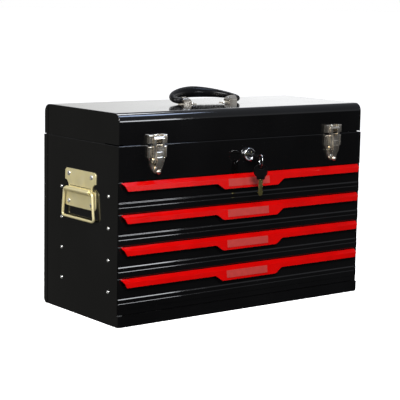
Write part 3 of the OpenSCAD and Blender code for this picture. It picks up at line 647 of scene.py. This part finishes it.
def ribbed_mat():
    """Ribbed rubber mat."""
    def ribs(tree):
        place = add_node(tree, "ShaderNodeTexCoord").outputs["Object"]
        wave = add_node(tree, "ShaderNodeTexWave", {"Vector": place, "Scale": 130.0},
                        bands_direction="X")
        return wave.outputs["Fac"]

    return shade("ribbed_mat", mottled(finish_rgb("foam"), 1.7, scale=18.0),
                 drift(22.0, 0.62, 0.8), ribs, depth=0.4 * MM)


def rivet_hollow():
    """Painted shade in a rivet's hollow: near black, with lighter dusty patches."""
    # the near-black colour is painted shade in the hollow; the lighter one is dust
    dark, dusty = (0.02, 0.02, 0.02), (0.08, 0.075, 0.07)
    return shade(
        "rivet_hollow", lambda tree: blend(tree, effect(tree, "Smudges", Scale=300.0), dark, dusty),
        drift(200.0, 0.4, 0.6), Metallic=0.6)


FINISHES = {
    "gloss_enamel": gloss_enamel,
    "satin_powder": satin_powder,
    "red_enamel": red_enamel,
    "label_strip": label_strip,
    "galvanised": galvanised,
    "ribbed_mat": ribbed_mat,
    "rivet_hollow": rivet_hollow,
    "nickel": lambda: plated(
        "nickel", finish_rgb("nickel"), (0.10, 0.22), peel=2.2, stain=0.7,
        stain_rgb=(0.26, 0.20, 0.13), grain=330.0, metal=0.95),
    "chrome": lambda: plated("chrome", finish_rgb("chrome"), (0.05, 0.13), peel=0.10),
    "yellow_zinc": lambda: plated(
        "yellow_zinc", finish_rgb("zinc"), (0.34, 0.46), peel=1.2, stain=0.35,
        stain_rgb=(0.70, 0.66, 0.50), grain=420.0, metal=0.62),
    "rivet_plate": lambda: plated(
        "rivet_plate", finish_rgb("rivet"), (0.18, 0.32), peel=0.3, metal=0.85),
    "key_brass": lambda: plated(
        "key_brass", finish_rgb("brass"), (0.20, 0.34), peel=0.3, stain=0.4,
        stain_rgb=(0.25, 0.24, 0.10)),
    "grip_rubber": lambda: moulded(
        "grip_rubber", finish_rgb("rubber"), (0.22, 0.32), grain=1500.0, specular=0.18),
    "key_plastic": lambda: moulded(
        "key_plastic", finish_rgb("key_head"), (0.30, 0.45), grain=1800.0, specular=0.06),
}


def material(name):
    """The finish of that name, made when it is first asked for."""
    return bpy.data.materials.get(name + FINISH_MARK) or FINISHES[name]()


# ---------------------------------------------------------------- pieces

class Maker(bpy.types.Operator):
    """What every operator here shares."""

    bl_options = {"REGISTER", "UNDO"}


class TOOLBOX_OT_lid_cover(Maker):
    """Bend the lid's sheet over its front and rear edges"""

    bl_idname = "toolbox.lid_cover"
    bl_label = "Lid Cover"

    def execute(self, context):
        sheets = settings("sheets")
        notch_z = LID_LO.z + sheets.notch_height
        notch_x = LID_HI.x - sheets.lid_notch
        outline = [(LID_LO.y, LID_LO.z), (LID_LO.y, notch_z), (LID_LO.y, LID_HI.z),
                   (LID_HI.y, LID_HI.z), (LID_HI.y, LID_LO.z)]
        bm = sheet_along_x(outline, [LID_LO.x, LID_LO.x + sheets.lid_notch, notch_x, LID_HI.x])
        middles = {face: face.calc_center_median() for face in bm.faces}
        notches = [face for face, middle in middles.items()
                   if middle.z < notch_z and middle.y < 0 and abs(middle.x) > notch_x]
        bmesh.ops.delete(bm, geom=notches, context="FACES")
        folds = edges_along_x(bm, LID_LO.y, LID_HI.z) + edges_along_x(bm, LID_HI.y, LID_HI.z)
        bevel(bm, folds, sheets.lid_radius, steps=24)
        thicken(bm, Z)
        soften(bm, sheets.edge, least=50)
        put(bm, "lid_cover", "lid", "gloss_enamel", ["lid_shell"])
        return {"FINISHED"}


class TOOLBOX_OT_case_sheets(Maker):
    """Round the folded sheets of the cabinet and the lid's ends"""

    bl_idname = "toolbox.case_sheets"
    bl_label = "Case Sheets"

    def execute(self, context):
        sheets = settings("sheets")
        for node in ("side_panel_left", "side_panel_right", "back_panel", "base_pan",
                     "seal_lip", "lid_ends"):
            refine(node, node + "_sheet", "gloss_enamel", sheets.edge)
        bm = cad_copy("till_front")
        lo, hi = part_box("till_front")
        bevel(bm, edges_along_x(bm, lo.y, hi.z), sheets.seam_fold, steps=5)
        soften(bm, sheets.edge)
        put(bm, "till_front_sheet", "cabinet", "gloss_enamel", ["till_front"])
        return {"FINISHED"}


# Where a pull's tab is: below the strip's top, and to each side of the middle
TAB_TOP = 10 * MM
TAB_REACH = 100 * MM
# Longest edge across the pull's sheet, and the least angle of one at a tab's corner
ACROSS_SHEET = 4 * MM
CORNER_ANGLE = math.radians(20)


class TOOLBOX_OT_drawers(Maker):
    """Build the drawers' fronts, pulls, labels, trays and mats"""

    bl_idname = "toolbox.drawers"
    bl_label = "Drawers"

    def execute(self, context):
        drawers = settings("drawers")
        for i in DRAWERS:
            self.front(i)
            self.pull(i)
            refine(f"drawer_{i}_label", f"drawer_{i}_label_strip", "label_strip",
                   drawers.label_edge)
            refine(f"drawer_{i}_tray", f"drawer_{i}_tray_sheet", "satin_powder",
                   drawers.tray_edge)
            refine(f"drawer_{i}_liner", f"drawer_{i}_mat", "ribbed_mat",
                   drawers.mat_edge)
        return {"FINISHED"}

    def front(self, i, ramp_steps=8):
        """Sheet pressed out in two soft steps and bent back below them."""
        drawers = settings("drawers")
        lo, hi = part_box(f"drawer_{i}_front")
        flat = lo.y + drawers.bead_box
        outline, out = [(flat, hi.z)], 0.0
        for top, rise, width in (
                (drawers.first_top, drawers.first_out, drawers.first_ramp),
                (drawers.second_top, drawers.second_out, drawers.second_ramp),
                (drawers.return_top, -drawers.first_out - drawers.second_out,
                 drawers.return_ramp)):
            for k in range(ramp_steps + 1):
                eased = out + rise * (1 - math.cos(math.pi * k / ramp_steps)) / 2
                outline.append((flat - eased, hi.z - top - width * k / ramp_steps))
            out += rise
        outline.append((flat, lo.z))
        bm = sheet_along_x(outline, [lo.x, hi.x])
        thicken(bm, FRONT)
        soften(bm, drawers.face_edge, least=60)
        put(bm, f"drawer_{i}_face", f"drawer_{i}", "gloss_enamel",
            [f"drawer_{i}_front"])

    def pull(self, i):
        """Strip with a tab in its middle, whose corners are round."""
        drawers = settings("drawers")
        bm = cad_copy(f"drawer_{i}_pull")
        tab_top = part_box(f"drawer_{i}_pull")[1].z - TAB_TOP
        corners = [e for e in bm.edges if abs(e.verts[0].co.x - e.verts[1].co.x) < WELD
                   and max(v.co.z for v in e.verts) < tab_top
                   and abs(e.verts[0].co.x) < TAB_REACH
                   and e.calc_length() < ACROSS_SHEET and e.calc_face_angle(0) > CORNER_ANGLE]
        bevel(bm, corners, drawers.tab_radius, steps=8)
        soften(bm, drawers.pull_edge, steps=3, least=40)
        put(bm, f"drawer_{i}_pull_strip", f"drawer_{i}", "red_enamel",
            [f"drawer_{i}_pull"])


class TOOLBOX_OT_rivets(Maker):
    """Set hollow rivets in the sides, the latches and the lid"""

    bl_idname = "toolbox.rivets"
    bl_label = "Rivets"

    def execute(self, context):
        # each piece's heads are plated, with painted shade in their hollows
        for node, name, body in (("cabinet_rivets", "cabinet_rivet_heads", "cabinet"),
                                 ("lid_rivets", "lid_rivet_heads", "lid")):
            put(join([self.head(*place) for place in self.places(node)]), name, body,
                ["rivet_plate", "rivet_hollow"], [node])
        return {"FINISHED"}

    def places(self, node):
        """Foot, direction, radius and height of each separate head in a node."""
        bm = welded(node)
        left = set(bm.verts)
        found = []
        while left:
            group, queue = set(), [next(iter(left))]
            while queue:
                vert = queue.pop()
                if vert in group:
                    continue
                group.add(vert)
                queue.extend(e.other_vert(vert) for e in vert.link_edges)
            left -= group
            lo = Vector(min(v.co[k] for v in group) for k in range(3))
            hi = Vector(max(v.co[k] for v in group) for k in range(3))
            size, foot = hi - lo, (lo + hi) / 2
            axis = min(range(3), key=lambda k: size[k])
            outward = Vector((0, 0, 0))
            outward[axis] = 1 if axis == 2 else math.copysign(1, foot[axis])
            foot[axis] = lo[axis] if outward[axis] > 0 else hi[axis]
            found.append((foot, outward, max(size) / 2, size[axis]))
        bm.free()
        return sorted(found, key=lambda place: tuple(round(c, 5) for c in place[0]))

    def head(self, foot, outward, radius, height):
        """Domed head with a hollow in its middle, whose faces take the painted shade."""
        fittings = settings("fittings")
        lip = fittings.rivet_lip
        hollow = radius * fittings.rivet_bore
        floor, wall_foot, rim = 0.3 * height, 0.45 * height, 0.12 * height
        inner, reach = hollow + lip, radius - hollow - lip
        outline = [(0, floor), (hollow - lip, floor), (hollow, wall_foot)]
        outline += arc((inner, height - lip), lip, 180, 90, steps=3)
        dome = arc((0, 0), 1, 90, 0, steps=6)[1:-1]
        outline += [(inner + across * reach, up * height) for across, up in dome]
        outline += [(radius, rim), (radius, 0), (0, 0)]
        bm = turned(outline, aim(foot, outward))
        mouth, above_foot = 0.97 * hollow, 0.1 * height
        # faces inside the hollow take the second finish, which paints shade there
        for face in bm.faces:
            middle = face.calc_center_median() - foot
            up = middle.dot(outward)
            if (middle - up * outward).length < mouth and up > above_foot:
                face.material_index = 1
        return bm


class TOOLBOX_OT_side_plates(Maker):
    """Stamp the side plates with their knuckles"""

    bl_idname = "toolbox.side_plates"
    bl_label = "Side Plates"

    def execute(self, context):
        for side in SIDES:
            refine(f"side_plate_{side}", f"bail_plate_{side}", "yellow_zinc",
                   settings("fittings").edge, steps=3)
        return {"FINISHED"}


class TOOLBOX_OT_bails(Maker):
    """Bend the side bails from round wire"""

    bl_idname = "toolbox.bails"
    bl_label = "Side Bails"

    def execute(self, context):
        fittings = settings("fittings")
        for side in SIDES:
            lo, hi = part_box(f"bail_{side}")
            centre = pivot(f"bail_{side}_hinge")
            low = (hi.y - lo.y) / 2 - fittings.wire - fittings.bail_gap
            drop = centre.z - lo.z - fittings.wire
            half = [(fittings.bail_end, 0), (fittings.bail_shoulder, 0), (low, -drop)]
            path = half + [(-y, z) for y, z in reversed(half)]
            bm = wire([centre + Vector((0, y, z)) for y, z in path], fittings.wire, fittings.bend)
            put(bm, f"bail_wire_{side}", f"bail_{side}", "yellow_zinc",
                [f"bail_{side}"], weighted=False)
        return {"FINISHED"}


def wire(points, radius, bend, sides=20, steps=8, end_edge=0.2):
    """Round wire along straight runs that are joined by bends of one radius.
    end_edge is the rounding of its ends as a share of its radius."""
    bm = bmesh.new()
    way = (points[1] - points[0]).normalized()
    bmesh.ops.create_circle(bm, cap_ends=True, radius=radius, segments=sides,
                            matrix=aim(points[0], way))
    faces = list(bm.faces)
    at = points[0]
    for here, after in zip(points[1:], points[2:] + [None]):
        leave = (after - here).normalized() if after is not None else None
        turn = way.angle(leave) if leave is not None else 0.0
        setback = bend * math.tan(turn / 2)
        stop = here - way * setback
        made = bmesh.ops.extrude_face_region(bm, geom=faces)["geom"]
        if at != points[0]:
            bmesh.ops.delete(bm, geom=faces, context="FACES_ONLY")
        faces = only(made, bmesh.types.BMFace)
        bmesh.ops.translate(bm, vec=stop - at, verts=only(made, bmesh.types.BMVert))
        at = stop
        if turn:
            axis = way.cross(leave).normalized()
            centre = stop + axis.cross(way) * bend
            spun = bmesh.ops.spin(bm, geom=faces, cent=centre, axis=axis, angle=turn,
                                  steps=steps)["geom_last"]
            bmesh.ops.delete(bm, geom=faces, context="FACES_ONLY")
            faces = only(spun, bmesh.types.BMFace)
            at = here + leave * setback
            way = leave
    bmesh.ops.remove_doubles(bm, verts=bm.verts, dist=FINE_WELD)
    bmesh.ops.recalc_face_normals(bm, faces=bm.faces)
    bevel(bm, sharp_edges(bm, 60), radius * end_edge)
    return bm


class TOOLBOX_OT_hinge(Maker):
    """Round the piano hinge's leaves and dress its pin"""

    bl_idname = "toolbox.hinge"
    bl_label = "Hinge"

    def execute(self, context):
        for node in ("hinge_leaf_body", "hinge_leaf_lid"):
            refine(node, node + "_strip", "galvanised",
                   settings("sheets").hinge_edge, least=50)
        dress("hinge_pin", "rivet_plate")
        return {"FINISHED"}


class TOOLBOX_OT_latches(Maker):
    """Stamp the draw latches' bases, strikes, claws and levers"""

    bl_idname = "toolbox.latches"
    bl_label = "Latches"

    def execute(self, context):
        fittings = settings("fittings")
        self.stamp("latch_bases", "latch_base_plates", fittings.edge)
        self.stamp("latch_strikes", "latch_strike_plates", fittings.edge)
        for side in SIDES:
            for part in ("claw", "lever"):
                node = f"latch_{side}_{part}"
                self.stamp(node, node + "_channel", fittings.channel_edge)
        return {"FINISHED"}

    def stamp(self, node, name, edge):
        """Rounds the upper front edges well and every other edge a little."""
        bm = cad_copy(node)
        upper = [e for e in sharp_edges(bm, 50) if runs_along_x(e) and self.is_upper_front(e)]
        bevel(bm, upper, settings("fittings").top_edge, steps=4)
        soften(bm, edge, steps=3)
        put(bm, name, frame["nodes"][node]["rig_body"], "nickel", [node])

    def is_upper_front(self, edge):
        """Whether an outer edge joins a face that looks up to one that looks forward."""
        front, top = sorted((f.normal for f in edge.link_faces), key=lambda normal: normal.z)
        return edge.is_convex and top.dot(Z) > FACING and front.dot(FRONT) > FACING


class TOOLBOX_OT_lock(Maker):
    """Turn the lock's rosette and plug, and dress what is behind them"""

    bl_idname = "toolbox.lock"
    bl_label = "Lock"

    def execute(self, context):
        fittings = settings("fittings")
        refine("lock_barrel", "lock_rosette", "chrome", fittings.lock_edge, steps=3)
        refine("lock_plug", "lock_plug_core", "chrome", fittings.plug_edge)
        for node in ("lock_nut", "lock_cam", "lock_catch"):
            dress(node, "galvanised")
        return {"FINISHED"}


class TOOLBOX_OT_keys(Maker):
    """Cut the keys, mould their heads and wind the ring"""

    bl_idname = "toolbox.keys"
    bl_label = "Keys"

    def execute(self, context):
        fittings = settings("fittings")
        for node in ("key_head", "spare_key_head"):
            refine(node, node + "_moulding", "key_plastic", fittings.head_edge,
                   steps=3)
        for node in ("key_blade", "spare_key_blade"):
            refine(node, node + "_cut", "key_brass", fittings.blade_edge)
        self.ring(fittings.ring_wire, fittings.ring_inset)
        return {"FINISHED"}

    def ring(self, wire_radius, inset, sides=10, turns=2, steps=96):
        """Wire wound in turns that rise a little more than its thickness in all."""
        lo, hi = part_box("key_ring")
        centre = (lo + hi) / 2
        axis = Vector(JOINTS["key_ring_swing"]["axis"]).normalized()
        start = centre + Z * ((hi.z - lo.z) / 2 - inset) - axis * wire_radius
        rise = 1.02 * 2 * wire_radius
        bm = bmesh.new()
        bmesh.ops.create_circle(bm, cap_ends=True, radius=wire_radius, segments=sides,
                                matrix=aim(start, axis.cross(Z)))
        bmesh.ops.spin(bm, geom=list(bm.faces), cent=centre, axis=axis, dvec=axis * (rise / steps),
                       angle=turns * 2 * math.pi, steps=steps)
        bmesh.ops.recalc_face_normals(bm, faces=bm.faces)
        put(bm, "key_ring_coil", "key_ring", "chrome", ["key_ring"],
            weighted=False)


class TOOLBOX_OT_handle(Maker):
    """Mould the top handle's grip and stamp its brackets"""

    bl_idname = "toolbox.handle"
    bl_label = "Top Handle"

    def execute(self, context):
        fittings = settings("fittings")
        refine("handle_brackets", "handle_bracket_hoods", "nickel",
               fittings.hood_edge, steps=4)
        dress("handle_core", "galvanised", fittings.core_edge)
        bm = welded("handle_grip")
        bmesh.ops.join_triangles(bm, faces=bm.faces, angle_face_threshold=math.radians(40),
                                 angle_shape_threshold=math.radians(60))
        grip = put(bm, "handle_soft_grip", "top_handle", "grip_rubber",
                   ["handle_grip"], weighted=False)
        smooth = grip.modifiers.new("Smooth", "SUBSURF")
        smooth.levels = 2
        smooth.render_levels = 2
        return {"FINISHED"}


class TOOLBOX_OT_interior(Maker):
    """Dress the slides, the till's floor and its mat"""

    bl_idname = "toolbox.interior"
    bl_label = "Interior"

    def execute(self, context):
        dress("slide_rails", "galvanised")
        dress("till_floor", "satin_powder")
        refine("till_liner", "till_mat", "ribbed_mat", settings("drawers").mat_edge)
        return {"FINISHED"}


# ---------------------------------------------------------------- stage

# Name, place, point it faces, width and height in metres, power in watts and colour
LAMPS = (
    ("overhead", (0.3, 0.5, 1.6), (0, 0, 0.2), (0.9, 0.5), 12, (0.95, 0.97, 1.0)),
    ("blue_strip", (0.60, -0.36, 1.47), (-0.25, -0.1, 0.33), (0.36, 0.24), 2.3, (0.58, 0.72, 1.0)),
    ("low_strip", (0.74, -1.50, 0.46), (-0.2, -0.1, 0.3), (0.24, 0.32), 2.4, (0.93, 0.96, 1.0)),
    ("front_key", (-0.7, -1.6, 1.25), (0, 0, 0.15), (1.0, 0.5), 46, (1.0, 1.0, 1.0)),
    ("side_fill", (-1.8, -0.3, 0.9), (0, 0, 0.2), (0.8, 0.6), 26, (1.0, 0.99, 0.96)),
)


def area_light(name, place, target, size, power, rgb):
    """Soft box that points at a target."""
    lamp = bpy.data.lights.new(name, "AREA")
    lamp.shape = "RECTANGLE"
    lamp.size, lamp.size_y = size
    lamp.energy = power
    lamp.color = rgb
    light = bpy.data.objects.new(name, lamp)
    bpy.context.scene.collection.objects.link(light)
    light.matrix_world = aim(Vector(place), Vector(place) - Vector(target))
    light.visible_camera = False


def surroundings():
    """White behind the box, and in its reflections a tent with a bright low band and a dark floor.
    A direction's X, Y and Z run from -1 to 1, and -Y is the front."""
    floor_right, floor_left = (0.025, 0.025, 0.027), (0.085, 0.084, 0.078)
    band, band_right = (0.76, 0.76, 0.745), (1.24, 1.25, 1.26)
    band_front, roof = (0.30, 0.31, 0.33), (0.20, 0.21, 0.235)

    world = bpy.data.worlds.new("studio_tent")
    bpy.context.scene.world = world
    world.use_nodes = True
    tree = world.node_tree
    tree.nodes.clear()
    way = add_node(tree, "ShaderNodeTexCoord").outputs["Generated"]
    across, depth, height = add_node(tree, "ShaderNodeSeparateXYZ", {0: way}).outputs
    ground = blend(tree, ramp(tree, across, low=0.1, high=-0.5), floor_right, floor_left)
    behind = blend(tree, ramp(tree, across, low=0.50, high=0.64), band, band_right)
    bright = blend(tree, ramp(tree, depth, low=-0.45, high=-0.15), band_front, behind)
    lower = blend(tree, ramp(tree, height, low=-0.015, high=0.04), ground, bright)
    tent = blend(tree, ramp(tree, height, low=0.16, high=0.36), lower, roof)
    hidden = add_node(tree, "ShaderNodeBackground", {"Color": tent, "Strength": 1.0})
    seen = add_node(tree, "ShaderNodeBackground", {"Color": (1, 1, 1, 1), "Strength": 1.0})
    ray = add_node(tree, "ShaderNodeLightPath").outputs["Is Camera Ray"]
    mixed = add_node(tree, "ShaderNodeMixShader", {
        0: ray, 1: hidden.outputs[0], 2: seen.outputs[0]})
    add_node(tree, "ShaderNodeOutputWorld", {"Surface": mixed.outputs[0]})


def pale_floor(half_width=40.0, roughness=0.9, glow=0.88):
    """Plain pale floor, lit from within, that the box doesn't mirror."""
    bm = bmesh.new()
    bmesh.ops.create_grid(bm, x_segments=1, y_segments=1, size=half_width)
    mesh = bpy.data.meshes.new("floor")
    bm.to_mesh(mesh)
    bm.free()
    floor = bpy.data.objects.new("floor", mesh)
    bpy.context.scene.collection.objects.link(floor)
    made = bpy.data.materials.new("pale_floor")
    made.use_nodes = True
    shader = made.node_tree.nodes["Principled BSDF"]
    shader.inputs["Base Color"].default_value = (*finish_rgb("floor"), 1)
    shader.inputs["Roughness"].default_value = roughness
    shader.inputs["Emission Color"].default_value = (1, 1, 1, 1)
    shader.inputs["Emission Strength"].default_value = glow
    mesh.materials.append(made)
    floor.visible_glossy = False
    floor.visible_diffuse = False


def aim_camera(stage, sensor=36, nearest=0.05, farthest=200):
    """Camera that looks at the target from a direction and distance."""
    lens = bpy.data.cameras.new("camera")
    lens.lens = stage.lens
    lens.sensor_width = sensor
    lens.clip_start, lens.clip_end = nearest, farthest
    camera = bpy.data.objects.new("camera", lens)
    bpy.context.scene.collection.objects.link(camera)
    bpy.context.scene.camera = camera
    a, e = stage.azimuth, stage.elevation
    back = Vector((math.sin(a) * math.cos(e), -math.cos(a) * math.cos(e), math.sin(e)))
    right = (-back).cross(Z).normalized()
    up = back.cross(right)
    turn = Matrix((right, up, back)).transposed().to_4x4() @ Matrix.Rotation(stage.roll, 4, "Z")
    place = Vector(stage.target) + back * stage.distance
    camera.matrix_world = Matrix.Translation(place) @ turn


class TOOLBOX_OT_stage(Maker):
    """Set the camera, the floor and the lights"""

    bl_idname = "toolbox.stage"
    bl_label = "Stage"

    def execute(self, context):
        context.scene.view_settings.view_transform = "Standard"
        aim_camera(settings("stage"))
        pale_floor()
        surroundings()
        for lamp in LAMPS:
            area_light(*lamp)
        return {"FINISHED"}


OPERATORS = (
    TOOLBOX_OT_lid_cover, TOOLBOX_OT_case_sheets, TOOLBOX_OT_drawers, TOOLBOX_OT_rivets,
    TOOLBOX_OT_side_plates, TOOLBOX_OT_bails, TOOLBOX_OT_hinge, TOOLBOX_OT_latches,
    TOOLBOX_OT_lock, TOOLBOX_OT_keys, TOOLBOX_OT_handle, TOOLBOX_OT_interior, TOOLBOX_OT_stage,
)


class TOOLBOX_PT_panel(bpy.types.Panel):
    """Lists the operators and the settings"""

    bl_label = "Tool Box"
    bl_idname = "TOOLBOX_PT_panel"
    bl_space_type = "VIEW_3D"
    bl_region_type = "UI"
    bl_category = "Tool Box"

    def draw(self, context):
        for operator in OPERATORS:
            self.layout.operator(operator.bl_idname)
        for group in GROUPS:
            box = self.layout.box()
            box.label(text=group.capitalize())
            for key in GROUPS[group].__annotations__:
                box.prop(settings(group), key)


def register():
    for group, cls in GROUPS.items():
        bpy.utils.register_class(cls)
        setattr(bpy.types.Scene, "tool_box_" + group, bpy.props.PointerProperty(type=cls))
    for cls in (*OPERATORS, TOOLBOX_PT_panel):
        bpy.utils.register_class(cls)


def unregister():
    for cls in (TOOLBOX_PT_panel, *reversed(OPERATORS)):
        bpy.utils.unregister_class(cls)
    for group, cls in GROUPS.items():
        delattr(bpy.types.Scene, "tool_box_" + group)
        bpy.utils.unregister_class(cls)


def main():
    register()
    for operator in OPERATORS:
        group, name = operator.bl_idname.split(".")
        getattr(getattr(bpy.ops, group), name)()


if __name__ == "__main__":
    main()
